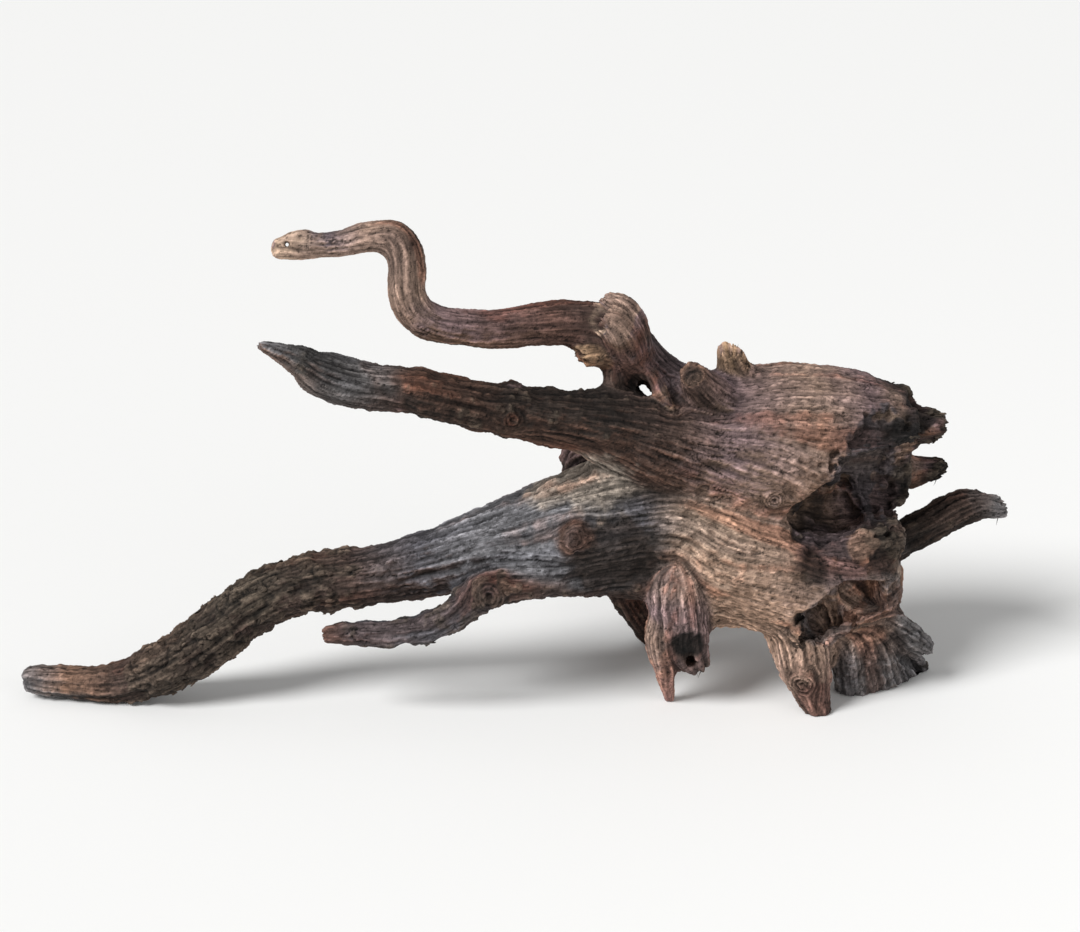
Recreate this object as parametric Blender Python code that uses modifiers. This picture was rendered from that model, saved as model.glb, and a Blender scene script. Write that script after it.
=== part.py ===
"""A dry root: a gnarled stump with its roots, grown as one piece, lying as it stands by itself.

Metres, +Z up. The origin is on the surface it stands on, under the middle of its outline.
+X runs along the object from the tip of the longest root to the short root at the other end,
and +Y points to its back. The wood is one piece, so there is one solid.
"""
import math

import bmesh
import bpy

MM = 0.001
VOXEL = 2.4 * MM            # grain of the fused body
BROAD_FILLET = 8 * MM       # how far the trunk and its lobes flow into each other
NARROW_FILLET = 3 * MM      # the same, where a root or a stub leaves the trunk
BODY_FACES = 8200           # triangles kept on the body before it is cut
HOLLOW_FACES = 900
GROUND_DEPTH = 30 * MM      # the slab that trims the feet flat reaches this far down
WOOD_COLOUR = (0.19, 0.125, 0.085, 1.0)
WOOD_ROUGHNESS = 0.85

# The stump, millimetres. Every limb grows from it, so these set the place and size of the whole root.
STUMP_START = (85, 12, 165)     # the end of its axis that the long roots leave
STUMP_LENGTH = 180
STUMP_LEAN = 4                # degrees that the axis turns to the back
STUMP_NEAR = 30               # radius at that end
STUMP_FAR = 38                # radius at the torn end
STUMP_SWELL = 22              # how much thicker it is in the middle
STUMP_STEPS = 6
SLABS = 5                     # splintered slabs that fan out in the foot

# How each limb grows: the limb it leaves, at what share of that limb's length, at what angle round
# it (0 front, 90 up, -90 down, 180 back), how many of its radii out, the new limb's own radius, and
# its legs. A leg is (length, heading, lean to the back, radius at its end): a heading of 0 runs
# along +X, 90 up and 180 along -X.
BROAD_LIMBS = {
    "upper_end": ("stump", 0.88, 60, 0.4, 25, [(38, -8, 20, 12)]),
    "back_end": ("stump", 0.85, 230, 0.9, 17, [(50, 5, 3, 9)]),
    "mass": ("stump", 0.18, -75, 1.1, 41, [(35, -35, -15, 42), (60, -20, -4, 38), (28, -5, 20, 35),
                                           (20, 12, 30, 27)]),
    "saddle": ("mass", 0.1, -70, 1.0, 20, [(40, 0, 0, 20)]),
    "rim": ("mass", 0.5, 45, 0.55, 14, [(65, 8, 16, 16), (12, -60, 30, 13)]),
    "apron": ("mass", 0.45, 0, 0.5, 17, [(15, -95, -5, 14), (30, -52, -8, 10)]),
    "right_cheek": ("mass", 1.0, 40, 0.5, 16, [(40, -88, 3, 12)]),
    "main_root": ("stump", 0.22, -80, 0.9, 44, [(100, 185, -14, 37), (50, 192, -2, 27), (60, 195, 2, 20),
                                                (75, 190, -2, 19), (85, 213, -5, 18), (42, 205, 6, 14),
                                                (68, 181, 6, 10)]),
    "collar": ("stump", 0.28, -40, 0.35, 23, [(70, 180, -14, 19), (45, 200, -3, 17)]),
    "knot_stub": ("main_root", 0.18, 15, 0.65, 16, [(20, 95, -70, 9)]),
}
NARROW_LIMBS = {
    "upper_root": ("stump", 0.35, 90, 0.2, 34, [(65, 142, -9, 18), (50, 134, -12, 17), (25, 160, -14, 15),
                                                (70, 178, -15, 12), (38, 157, -14, 12), (42, 101, 8, 12),
                                                (14, 165, 10, 10), (30, 190, 0, 8.5), (26, 175, -4, 7)]),
    "tip_upper": ("upper_root", 0.96, 90, 0.55, 6.5, [(24, 190, -6, 4)]),
    "tip_lower": ("upper_root", 0.96, -90, 0.5, 6.5, [(24, 186, -4, 4)]),
    "tip_front": ("tip_upper", 1.0, 0, 0, 2.5, [(7, -90, 0, 2.5)]),
    "front_lump": ("upper_root", 0.27, 0, 0.9, 12, [(27, 114, -16, 12), (8, 150, 4, 9)]),
    "back_lump": ("upper_root", 0.25, 25, 0.6, 11, [(36, 108, -14, 10), (8, 150, 8, 7)]),
    "broken_peg": ("upper_root", 0.3, -20, 0.7, 9, [(28, 182, -22, 7)]),
    "strut": ("upper_root", 0.32, -50, 0.8, 8, [(40, -88, -14, 4)]),
    "neck_edge": ("upper_root", 0.27, -20, 0.8, 7, [(15, -35, -8, 6), (24, -62, -14, 5)]),
    "middle_root": ("stump", 0.2, 0, 0.25, 39, [(80, 155, -22, 23), (50, 166, -14, 17), (75, 163, -14, 14),
                                                (30, 162, -6, 9)]),
    "blade": ("middle_root", 0.86, 180, 0.3, 13, [(35, 172, -12, 15), (26, 158, -14, 14), (20, 142, -16, 9),
                                                (24, 152, -16, 4)]),
    "blade_edge": ("middle_root", 0.9, -90, 0.5, 10, [(40, 168, -10, 9), (16, 158, -8, 4)]),
    "ridge": ("middle_root", 0.98, -140, 0.9, 6, [(65, -16, 13, 9), (50, -14, 12, 9), (60, -22, 18, 15)]),
    "bump": ("middle_root", 0.58, 100, 0.85, 6.5, [(5, 90, 0, 4.5)]),
    "side_root": ("main_root", 0.05, -60, 0.8, 22, [(50, 181, -21, 12), (70, 180, -14, 12), (30, 214, -4, 10),
                                                    (25, 205, 0, 9), (60, 184, 2, 7)]),
    "back_root": ("stump", 0.0, 180, 0.5, 22, [(35, 198, 10, 20), (20, 262, 24, 16), (45, 282, 16, 13),
                                               (62, 290, 11, 12), (56, 300, 7, 8)]),
    "right_root": ("mass", 0.93, 175, 0.9, 16, [(28, 18, 16, 13), (55, 25, 8, 12), (18, 0, 2, 8)]),
    "spur": ("mass", 0.0, -60, 0.55, 24, [(26, 235, -50, 21), (38, 278, -6, 17), (20, 292, 10, 10)]),
    "spur_front": ("spur", 0.35, 0, 0.2, 16, [(30, -85, -4, 13)]),
    "spike": ("spur_front", 0.5, 0, 0, 14, [(15, 225, 0, 13), (25, -88, 6, 8.5), (38, -82, 18, 4)]),
    "column": ("mass", 0.56, -65, 0.6, 24, [(40, -80, -18, 17), (32, -74, -12, 9)]),
    "knob": ("column", 0.38, 0, 0.6, 8.5, [(14, -100, 0, 6)]),
    "finger": ("mass", 0.86, -12, 0.55, 10, [(60, -40, 14, 8.5), (16, -45, 30, 5)]),
    "tongue": ("mass", 0.93, 0, 0.4, 13, [(26, -46, 10, 6)]),
    "round_stub": ("stump", 0.25, 65, 1.0, 14, [(20, 128, -36, 11), (20, 125, -45, 9)]),
    "split_stub": ("stump", 0.33, 88, 0.75, 9, [(32, 102, -3, 6)]),
    "split_stub_right": ("stump", 0.37, 86, 0.75, 9, [(31, 104, -4, 6)]),
    "split_stub_low": ("stump", 0.41, 86, 0.7, 10, [(20, 108, -5, 7)]),
}
HOLLOWS = {
    "log_end": ("stump", 0.68, -14, 0.95, 22, [(42, -4, 26, 27), (60, -2, 26, 30)]),
    "crevice": ("stump", 0.47, -32, 1.2, 5, [(28, 14, 18, 17), (28, 22, 20, 24)]),
    "crevice_floor": ("stump", 0.55, -34, 1.1, 5, [(24, 10, 16, 7), (24, 10, 16, 9)]),
    "crevice_back": ("stump", 0.53, -50, 0.95, 5, [(25, 12, 18, 12), (25, 12, 18, 18)]),
    "scoop": ("mass", 0.6, -25, 1.0, 10, [(22, 30, 14, 16), (34, 4, 30, 12)]),
    "scoop_pit": ("mass", 0.62, -25, 0.9, 11, [(24, -45, 60, 10)]),
    "finger_gap": ("finger", 0.1, -15, 4, 2.5, [(54, -50, 46, 4), (54, -50, 46, 5)]),
    "spur_hollow": ("spur", 0.8, -10, 1.6, 6.5, [(26, -60, 75, 3.5)]),
    "neck_slot": ("upper_root", 0.25, 0, 3.5, 3, [(42, -81, 72, 3), (42, -81, 72, 3)]),
    "neck_slot_end": ("upper_root", 0.23, 0, 3.5, 3, [(42, -81, 72, 3), (42, -81, 72, 3)]),
    "tip_eye": ("upper_root", 0.99, 15, 4, 2.4, [(40, 245, 70, 2.4), (40, 245, 70, 2.4)]),
}


def slab(share):
    """One slab of the foot's fan, from the column's side (share 0) to the far side (share 1)."""
    legs = [(25, -80 + 25 * share, 14 + 12 * share, 12 - 2 * share),
            (44 + 16 * share, -82 + 22 * share, 16 + 20 * share, 9 - 2 * share)]
    return ("mass", 0.8 + 0.2 * share, -60 + 10 * share, 0.85 + 0.45 * share, 13 - 2 * share, legs)


def stump_route():
    x, y, z = STUMP_START
    route = []
    for step in range(STUMP_STEPS + 1):
        share = step / STUMP_STEPS
        way = STUMP_LENGTH * share
        radius = STUMP_NEAR + (STUMP_FAR - STUMP_NEAR) * share + STUMP_SWELL * math.sin(math.pi * share)
        route.append((x + way, y + way * math.sin(math.radians(STUMP_LEAN)), z, radius))
    return route


def point_on(route, share):
    """The point and radius at a share of a route's length."""
    lengths = [math.dist(a[:3], b[:3]) for a, b in zip(route[:-1], route[1:])]
    left = share * sum(lengths)
    for a, b, length in zip(route[:-1], route[1:], lengths):
        if left <= length:
            return [p + (q - p) * left / length for p, q in zip(a, b)]
        left -= length
    return list(route[-1])


def grow(plan, routes):
    """Adds the route of every limb in the plan, as points (x, y, z, radius), to the routes so far."""
    for name, (parent, share, around, out, radius, legs) in plan.items():
        x, y, z, girth = point_on(routes[parent], share)
        y -= math.cos(math.radians(around)) * out * girth
        z += math.sin(math.radians(around)) * out * girth
        route = [(x, y, z, radius)]
        for length, heading, lean, radius in legs:
            level = length * math.cos(math.radians(lean))
            x += level * math.cos(math.radians(heading))
            y += length * math.sin(math.radians(lean))
            z += level * math.sin(math.radians(heading))
            route.append((x, y, z, radius))
        routes[name] = route
    return {name: routes[name] for name in plan}


ROUTES = {"stump": stump_route()}
BROAD = {"stump": ROUTES["stump"], **grow(BROAD_LIMBS, ROUTES)}
NARROW = grow(NARROW_LIMBS, ROUTES)
NARROW.update(grow({f"slab_{i + 1}": slab(i / (SLABS - 1)) for i in range(SLABS)}, ROUTES))
CUTS = grow(HOLLOWS, ROUTES)


def clear_scene():
    for item in list(bpy.data.objects):
        bpy.data.objects.remove(item)


def new_collection(name):
    collection = bpy.data.collections.new(name)
    bpy.context.scene.collection.children.link(collection)
    return collection


def wood():
    material = bpy.data.materials.new("weathered_wood")
    material.use_nodes = True
    shader = material.node_tree.nodes["Principled BSDF"]
    shader.inputs["Base Color"].default_value = WOOD_COLOUR
    shader.inputs["Roughness"].default_value = WOOD_ROUGHNESS
    shader.inputs["Metallic"].default_value = 0.0
    material.diffuse_color = WOOD_COLOUR
    return material


def evaluated_mesh(item):
    bpy.context.view_layer.update()
    graph = bpy.context.evaluated_depsgraph_get()
    return bpy.data.meshes.new_from_object(item.evaluated_get(graph))


def limb(name, route, collection):
    """One tapering limb: a bevelled curve through the route, made a mesh with its caps welded."""
    curve = bpy.data.curves.new(name, "CURVE")
    curve.dimensions = "3D"
    curve.resolution_u = 6
    curve.bevel_depth = 1.0
    curve.bevel_resolution = 6
    curve.use_fill_caps = True
    spline = curve.splines.new("BEZIER")
    spline.radius_interpolation = "CARDINAL"
    spline.bezier_points.add(len(route) - 1)
    for point, (x, y, z, radius) in zip(spline.bezier_points, route):
        point.co = (x * MM, y * MM, z * MM)
        point.radius = radius * MM
        point.handle_left_type = "AUTO"
        point.handle_right_type = "AUTO"
    guide = bpy.data.objects.new(name, curve)
    collection.objects.link(guide)
    mesh = evaluated_mesh(guide)
    bpy.data.objects.remove(guide)
    welded = bmesh.new()
    welded.from_mesh(mesh)
    bmesh.ops.remove_doubles(welded, verts=welded.verts, dist=0.00001)
    welded.to_mesh(mesh)
    welded.free()
    return mesh


def gathered(name, meshes, collection):
    """One object holding all the meshes, still overlapping."""
    together = bmesh.new()
    for mesh in meshes:
        together.from_mesh(mesh)
    mesh = bpy.data.meshes.new(name)
    together.to_mesh(mesh)
    together.free()
    item = bpy.data.objects.new(name, mesh)
    collection.objects.link(item)
    return item


def limbs(routes, collection):
    return [limb(name, route, collection) for name, route in routes.items()]


def add_modifier(item, kind, **settings):
    modifier = item.modifiers.new(kind.title(), kind)
    for key, value in settings.items():
        setattr(modifier, key, value)


def bake(item):
    mesh = evaluated_mesh(item)
    item.modifiers.clear()
    item.data = mesh


def fuse(item, fillet, smoothing):
    """One skin over the overlapping limbs. Growing it and shrinking it back fills the corners."""
    add_modifier(item, "REMESH", mode="VOXEL", voxel_size=VOXEL)
    if fillet:
        add_modifier(item, "SMOOTH", iterations=2)
        add_modifier(item, "DISPLACE", strength=fillet, mid_level=0)
        add_modifier(item, "REMESH", mode="VOXEL", voxel_size=VOXEL)
        add_modifier(item, "SMOOTH", iterations=4)
        add_modifier(item, "DISPLACE", strength=-fillet, mid_level=0)
        add_modifier(item, "REMESH", mode="VOXEL", voxel_size=VOXEL)
    add_modifier(item, "SMOOTH", iterations=smoothing)
    bake(item)


def thin_out(item, triangles):
    """Fewer triangles, spread by how much the surface bends."""
    item.data.calc_loop_triangles()
    ratio = min(1.0, triangles / len(item.data.loop_triangles))
    add_modifier(item, "DECIMATE", ratio=ratio, use_collapse_triangulate=True)
    bake(item)


def body(collection):
    broad = gathered("broad", limbs(BROAD, collection), collection)
    fuse(broad, BROAD_FILLET, 6)
    root = gathered("dry_root", [broad.data] + limbs(NARROW, collection), collection)
    bpy.data.objects.remove(broad)
    fuse(root, NARROW_FILLET, 3)
    thin_out(root, BODY_FACES)
    return root


def hollow_cutter(collection):
    cutter = gathered("hollow_cutter", limbs(CUTS, collection), collection)
    fuse(cutter, 0, 3)
    thin_out(cutter, HOLLOW_FACES)
    return cutter


def ground_cutter(collection):
    """A slab below z = 0 that leaves a flat foot wherever the root reaches the surface."""
    bpy.ops.mesh.primitive_cube_add(size=1.0, location=(0, 0, -GROUND_DEPTH / 2))
    slab = bpy.context.active_object
    slab.name = "ground_cutter"
    slab.scale = (1.0, 0.6, GROUND_DEPTH)
    bpy.ops.object.transform_apply(location=False, rotation=False, scale=True)
    for holder in list(slab.users_collection):
        holder.objects.unlink(slab)
    collection.objects.link(slab)
    return slab


def as_cutter(item):
    item.hide_render = True
    item.display_type = "WIRE"


def main():
    clear_scene()
    parts = new_collection("dry_root_parts")
    cutters = new_collection("cutters")
    root = body(parts)
    for cutter in (hollow_cutter(cutters), ground_cutter(cutters)):
        as_cutter(cutter)
        add_modifier(root, "BOOLEAN", operation="DIFFERENCE", object=cutter, solver="EXACT")
    root.data.materials.clear()
    root.data.materials.append(wood())
    root.data.shade_smooth()


main()
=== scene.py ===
import math
import time

import bmesh
import bpy
import numpy as np
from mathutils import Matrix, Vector


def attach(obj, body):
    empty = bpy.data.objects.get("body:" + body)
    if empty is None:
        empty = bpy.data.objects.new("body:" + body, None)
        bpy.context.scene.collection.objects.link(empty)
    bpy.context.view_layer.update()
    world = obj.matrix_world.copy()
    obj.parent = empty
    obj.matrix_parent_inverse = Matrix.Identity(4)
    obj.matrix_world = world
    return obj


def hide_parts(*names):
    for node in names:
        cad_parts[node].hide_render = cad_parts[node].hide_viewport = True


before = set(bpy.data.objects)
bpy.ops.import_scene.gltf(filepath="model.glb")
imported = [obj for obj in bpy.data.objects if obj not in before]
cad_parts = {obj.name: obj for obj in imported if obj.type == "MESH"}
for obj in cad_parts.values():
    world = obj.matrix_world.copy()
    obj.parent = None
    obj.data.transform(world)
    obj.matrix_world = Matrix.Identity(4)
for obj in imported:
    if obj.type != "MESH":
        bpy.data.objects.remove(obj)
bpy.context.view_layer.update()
mm = 0.001
startTime = time.time()


def report(stage):
    print(f"{time.time() - startTime:6.1f} s  {stage}")


# how the root grows, in millimetres: everything leaves the stump or a limb that has left it

stump = {"start": (85, 12, 165), "length": 180, "lean": 4, "near": 30, "far": 38, "swell": 22, "steps": 6}
slabCount = 5

# each limb: the limb it leaves, the share of its length, the angle round it (0 front, 90 up, 180 back),
# how many of its radii out, its own radius, and its legs of (length, heading, lean back, radius at the end)
broadLimbs = {
    "upperEnd": ("stump", 0.88, 60, 0.4, 25, [(38, -8, 20, 12)]),
    "backEnd": ("stump", 0.85, 230, 0.9, 17, [(50, 5, 3, 9)]),
    "mass": ("stump", 0.18, -75, 1.1, 41, [(35, -35, -15, 42), (60, -20, -4, 38), (28, -5, 20, 35),
                                           (20, 12, 30, 27)]),
    "saddle": ("mass", 0.1, -70, 1.0, 20, [(40, 0, 0, 20)]),
    "rim": ("mass", 0.5, 45, 0.55, 14, [(65, 8, 16, 16), (12, -60, 30, 13)]),
    "apron": ("mass", 0.45, 0, 0.5, 17, [(15, -95, -5, 14), (30, -52, -8, 10)]),
    "rightCheek": ("mass", 1.0, 40, 0.5, 16, [(40, -88, 3, 12)]),
    "mainRoot": ("stump", 0.22, -80, 0.9, 44, [(100, 185, -14, 37), (50, 192, -2, 27), (60, 195, 2, 20),
                                                (75, 190, -2, 19), (85, 213, -5, 18), (42, 205, 6, 14),
                                                (68, 181, 6, 10)]),
    "collar": ("stump", 0.28, -40, 0.35, 23, [(70, 180, -14, 19), (45, 200, -3, 17)]),
    "knotStub": ("mainRoot", 0.18, 15, 0.65, 16, [(20, 95, -70, 9)]),
}
narrowLimbs = {
    "upperRoot": ("stump", 0.35, 90, 0.2, 34, [(65, 142, -9, 18), (50, 134, -12, 17), (25, 160, -14, 15),
                                                (70, 178, -15, 12), (38, 157, -14, 12), (42, 101, 8, 12),
                                                (14, 165, 10, 10), (30, 190, 0, 8.5), (26, 175, -4, 7)]),
    "tipUpper": ("upperRoot", 0.96, 90, 0.55, 6.5, [(24, 190, -6, 4)]),
    "tipLower": ("upperRoot", 0.96, -90, 0.5, 6.5, [(24, 186, -4, 4)]),
    "tipFront": ("tipUpper", 1.0, 0, 0, 2.5, [(7, -90, 0, 2.5)]),
    "frontLump": ("upperRoot", 0.27, 0, 0.9, 12, [(27, 114, -16, 12), (8, 150, 4, 9)]),
    "backLump": ("upperRoot", 0.25, 25, 0.6, 11, [(36, 108, -14, 10), (8, 150, 8, 7)]),
    "brokenPeg": ("upperRoot", 0.3, -20, 0.7, 9, [(28, 182, -22, 7)]),
    "strut": ("upperRoot", 0.32, -50, 0.8, 8, [(40, -88, -14, 4)]),
    "neckEdge": ("upperRoot", 0.27, -20, 0.8, 7, [(15, -35, -8, 6), (24, -62, -14, 5)]),
    "middleRoot": ("stump", 0.2, 0, 0.25, 39, [(80, 155, -22, 23), (50, 166, -14, 17), (75, 163, -14, 14),
                                                (30, 162, -6, 9)]),
    "blade": ("middleRoot", 0.86, 180, 0.3, 13, [(35, 172, -12, 15), (26, 158, -14, 14), (20, 142, -16, 9),
                                                (24, 152, -16, 4)]),
    "bladeEdge": ("middleRoot", 0.9, -90, 0.5, 10, [(40, 168, -10, 9), (16, 158, -8, 4)]),
    "ridge": ("middleRoot", 0.98, -140, 0.9, 6, [(65, -16, 13, 9), (50, -14, 12, 9), (60, -22, 18, 15)]),
    "bump": ("middleRoot", 0.58, 100, 0.85, 6.5, [(5, 90, 0, 4.5)]),
    "sideRoot": ("mainRoot", 0.05, -60, 0.8, 22, [(50, 181, -21, 12), (70, 180, -14, 12), (30, 214, -4, 10),
                                                    (25, 205, 0, 9), (60, 184, 2, 7)]),
    "backRoot": ("stump", 0.0, 180, 0.5, 22, [(35, 198, 10, 20), (20, 262, 24, 16), (45, 282, 16, 13),
                                               (62, 290, 11, 12), (56, 300, 7, 8)]),
    "rightRoot": ("mass", 0.93, 175, 0.9, 16, [(28, 18, 16, 13), (55, 25, 8, 12), (18, 0, 2, 8)]),
    "spur": ("mass", 0.0, -60, 0.55, 24, [(26, 235, -50, 21), (38, 278, -6, 17), (20, 292, 10, 10)]),
    "spurFront": ("spur", 0.35, 0, 0.2, 16, [(30, -85, -4, 13)]),
    "spike": ("spurFront", 0.5, 0, 0, 14, [(15, 225, 0, 13), (25, -88, 6, 8.5), (38, -82, 18, 4)]),
    "column": ("mass", 0.56, -65, 0.6, 24, [(40, -80, -18, 17), (32, -74, -12, 9)]),
    "knob": ("column", 0.38, 0, 0.6, 8.5, [(14, -100, 0, 6)]),
    "finger": ("mass", 0.86, -12, 0.55, 10, [(60, -40, 14, 8.5), (16, -45, 30, 5)]),
    "tongue": ("mass", 0.93, 0, 0.4, 13, [(26, -46, 10, 6)]),
    "roundStub": ("stump", 0.25, 65, 1.0, 14, [(20, 128, -36, 11), (20, 125, -45, 9)]),
    "splitStub": ("stump", 0.33, 88, 0.75, 9, [(32, 102, -3, 6)]),
    "splitStubRight": ("stump", 0.37, 86, 0.75, 9, [(31, 104, -4, 6)]),
    "splitStubLow": ("stump", 0.41, 86, 0.7, 10, [(20, 108, -5, 7)]),
}
hollows = {
    "logEnd": ("stump", 0.68, -14, 0.95, 22, [(42, -4, 26, 27), (60, -2, 26, 30)]),
    "crevice": ("stump", 0.47, -32, 1.2, 5, [(28, 14, 18, 17), (28, 22, 20, 24)]),
    "creviceFloor": ("stump", 0.55, -34, 1.1, 5, [(24, 10, 16, 7), (24, 10, 16, 9)]),
    "creviceBack": ("stump", 0.53, -50, 0.95, 5, [(25, 12, 18, 12), (25, 12, 18, 18)]),
    "scoop": ("mass", 0.6, -25, 1.0, 10, [(22, 30, 14, 16), (34, 4, 30, 12)]),
    "scoopPit": ("mass", 0.62, -25, 0.9, 11, [(24, -45, 60, 10)]),
    "fingerGap": ("finger", 0.1, -15, 4, 2.5, [(54, -50, 46, 4), (54, -50, 46, 5)]),
    "spurHollow": ("spur", 0.8, -10, 1.6, 6.5, [(26, -60, 75, 3.5)]),
    "neckSlot": ("upperRoot", 0.25, 0, 3.5, 3, [(42, -81, 72, 3), (42, -81, 72, 3)]),
    "neckSlotEnd": ("upperRoot", 0.23, 0, 3.5, 3, [(42, -81, 72, 3), (42, -81, 72, 3)]),
    "tipEye": ("upperRoot", 0.99, 15, 4, 2.4, [(40, 245, 70, 2.4), (40, 245, 70, 2.4)]),
}


partLimbs = {  # the limbs of each part, which share one kind of surface
    "stump": ["stump", "upperEnd", "backEnd"],
    "lower": ["mass", "saddle", "rim", "apron", "rightCheek"],
    "main": ["mainRoot", "collar", "knotStub"],
    "upper": ["upperRoot", "tipUpper", "tipLower", "tipFront", "frontLump", "backLump", "brokenPeg",
              "strut", "neckEdge"],
    "middle": ["middleRoot", "blade", "bladeEdge", "ridge", "bump"],
    "side": ["sideRoot"],
    "back": ["backRoot"],
    "right": ["rightRoot"],
    "spur": ["spur", "spurFront", "spike"],
    "foot": ["column", "knob", "finger", "tongue", "slab"],
    "stubs": ["roundStub", "splitStub", "splitStubRight", "splitStubLow"],
}


def slab(share):  # one slab of the foot's fan
    legs = [(25, -80 + 25 * share, 14 + 12 * share, 12 - 2 * share),
            (44 + 16 * share, -82 + 22 * share, 16 + 20 * share, 9 - 2 * share)]
    return ("mass", 0.8 + 0.2 * share, -60 + 10 * share, 0.85 + 0.45 * share, 13 - 2 * share, legs)


def stumpRoute():
    x, y, z = stump["start"]
    route = []
    for step in range(stump["steps"] + 1):
        share = step / stump["steps"]
        way = stump["length"] * share
        radius = stump["near"] + (stump["far"] - stump["near"]) * share
        radius += stump["swell"] * math.sin(math.pi * share)
        route.append((x + way, y + way * math.sin(math.radians(stump["lean"])), z, radius))
    return route


def pointOn(route, share):
    lengths = [math.dist(a[:3], b[:3]) for a, b in zip(route[:-1], route[1:])]
    left = share * sum(lengths)
    for a, b, length in zip(route[:-1], route[1:], lengths):
        if left <= length:
            return [p + (q - p) * left / length for p, q in zip(a, b)]
        left -= length
    return list(route[-1])


def grow(limbs):
    for name, (parent, share, around, out, radius, legs) in limbs.items():
        x, y, z, girth = pointOn(routes[parent], share)
        y -= math.cos(math.radians(around)) * out * girth
        z += math.sin(math.radians(around)) * out * girth
        route = [(x, y, z, radius)]
        for length, heading, lean, radius in legs:
            level = length * math.cos(math.radians(lean))
            x += level * math.cos(math.radians(heading))
            y += length * math.sin(math.radians(lean))
            z += level * math.sin(math.radians(heading))
            route.append((x, y, z, radius))
        routes[name] = route
    return {name: routes[name] for name in limbs}


routes = {"stump": stumpRoute()}
broadRoutes = {"stump": routes["stump"], **grow(broadLimbs)}
narrowRoutes = grow(narrowLimbs)
narrowRoutes.update(grow({f"slab{i + 1}": slab(i / (slabCount - 1)) for i in range(slabCount)}))
hollowRoutes = grow(hollows)
partOf = {limb: part for part, limbs in partLimbs.items() for limb in limbs}
skinSettings = {"voxel": 1.8 * mm, "fineVoxel": 1.0 * mm, "broadFillet": 8 * mm, "narrowFillet": 3 * mm}


def onLimb(limb, share, around, out=1.0):  # a place on or over a limb's surface, in millimetres
    x, y, z, radius = pointOn(routes[limb], share)
    reach = out * radius
    return (x, y - math.cos(math.radians(around)) * reach, z + math.sin(math.radians(around)) * reach)


# from routes to one closed skin

def evaluatedMesh(item):
    bpy.context.view_layer.update()
    return bpy.data.meshes.new_from_object(item.evaluated_get(bpy.context.evaluated_depsgraph_get()))


def newItem(name, mesh):
    item = bpy.data.objects.new(name, mesh)
    bpy.context.scene.collection.objects.link(item)
    return item


def limbMesh(name, route):
    curve = bpy.data.curves.new(name, "CURVE")
    curve.dimensions = "3D"
    curve.resolution_u = 8
    curve.bevel_depth = 1.0
    curve.bevel_resolution = 8
    curve.use_fill_caps = True
    spline = curve.splines.new("BEZIER")
    spline.radius_interpolation = "CARDINAL"
    spline.bezier_points.add(len(route) - 1)
    for point, (x, y, z, radius) in zip(spline.bezier_points, route):
        point.co = (x * mm, y * mm, z * mm)
        point.radius = radius * mm
        point.handle_left_type = "AUTO"
        point.handle_right_type = "AUTO"
    guide = newItem(name, curve)
    mesh = evaluatedMesh(guide)
    bpy.data.objects.remove(guide)
    welded = bmesh.new()
    welded.from_mesh(mesh)
    bmesh.ops.remove_doubles(welded, verts=welded.verts, dist=0.00001)
    welded.to_mesh(mesh)
    welded.free()
    return mesh


def limbMeshes(routesByName):
    return [limbMesh(name, route) for name, route in routesByName.items()]


def gathered(name, meshes):
    together = bmesh.new()
    for mesh in meshes:
        together.from_mesh(mesh)
    mesh = bpy.data.meshes.new(name)
    together.to_mesh(mesh)
    together.free()
    return newItem(name, mesh)


def addModifier(item, kind, **settings):
    modifier = item.modifiers.new(kind.title(), kind)
    for key, value in settings.items():
        setattr(modifier, key, value)


def applyAll(item):
    mesh = evaluatedMesh(item)
    item.modifiers.clear()
    item.data = mesh


def fuse(item, voxel, fillet, smoothing):  # growing and shrinking back fills the corners
    addModifier(item, "REMESH", mode="VOXEL", voxel_size=voxel)
    if fillet:
        addModifier(item, "SMOOTH", iterations=2)
        addModifier(item, "DISPLACE", strength=fillet, mid_level=0)
        addModifier(item, "REMESH", mode="VOXEL", voxel_size=voxel)
        addModifier(item, "SMOOTH", iterations=4)
        addModifier(item, "DISPLACE", strength=-fillet, mid_level=0)
        addModifier(item, "REMESH", mode="VOXEL", voxel_size=voxel)
    addModifier(item, "SMOOTH", iterations=smoothing)
    applyAll(item)


def readPoints(mesh):
    points = np.empty(len(mesh.vertices) * 3, np.float32)
    mesh.vertices.foreach_get("co", points)
    corners = np.empty(len(mesh.loops), np.int32)
    mesh.loops.foreach_get("vertex_index", corners)
    return points.reshape(-1, 3).astype(float), corners.reshape(-1, 4)


def rawSkin():
    voxel = skinSettings["voxel"]
    broad = gathered("broad", limbMeshes(broadRoutes))
    fuse(broad, voxel, skinSettings["broadFillet"], 6)
    skin = gathered("rootSkin", [broad.data] + limbMeshes(narrowRoutes))
    bpy.data.objects.remove(broad)
    fuse(skin, voxel, skinSettings["narrowFillet"], 3)
    cutter = gathered("hollowCutter", limbMeshes(hollowRoutes))
    fuse(cutter, voxel, 0, 3)
    addModifier(skin, "BOOLEAN", operation="DIFFERENCE", object=cutter, solver="EXACT")
    applyAll(skin)
    bpy.data.objects.remove(cutter)
    addModifier(skin, "REMESH", mode="VOXEL", voxel_size=skinSettings["fineVoxel"])
    addModifier(skin, "SMOOTH", iterations=5)
    applyAll(skin)
    points, faces = readPoints(skin.data)
    points = scarred(points, faces)
    skin.data.vertices.foreach_set("co", points.astype(np.float32).ravel())
    addModifier(skin, "REMESH", mode="VOXEL", voxel_size=skinSettings["fineVoxel"])
    addModifier(skin, "SMOOTH", iterations=2)
    applyAll(skin)
    return skin


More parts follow.
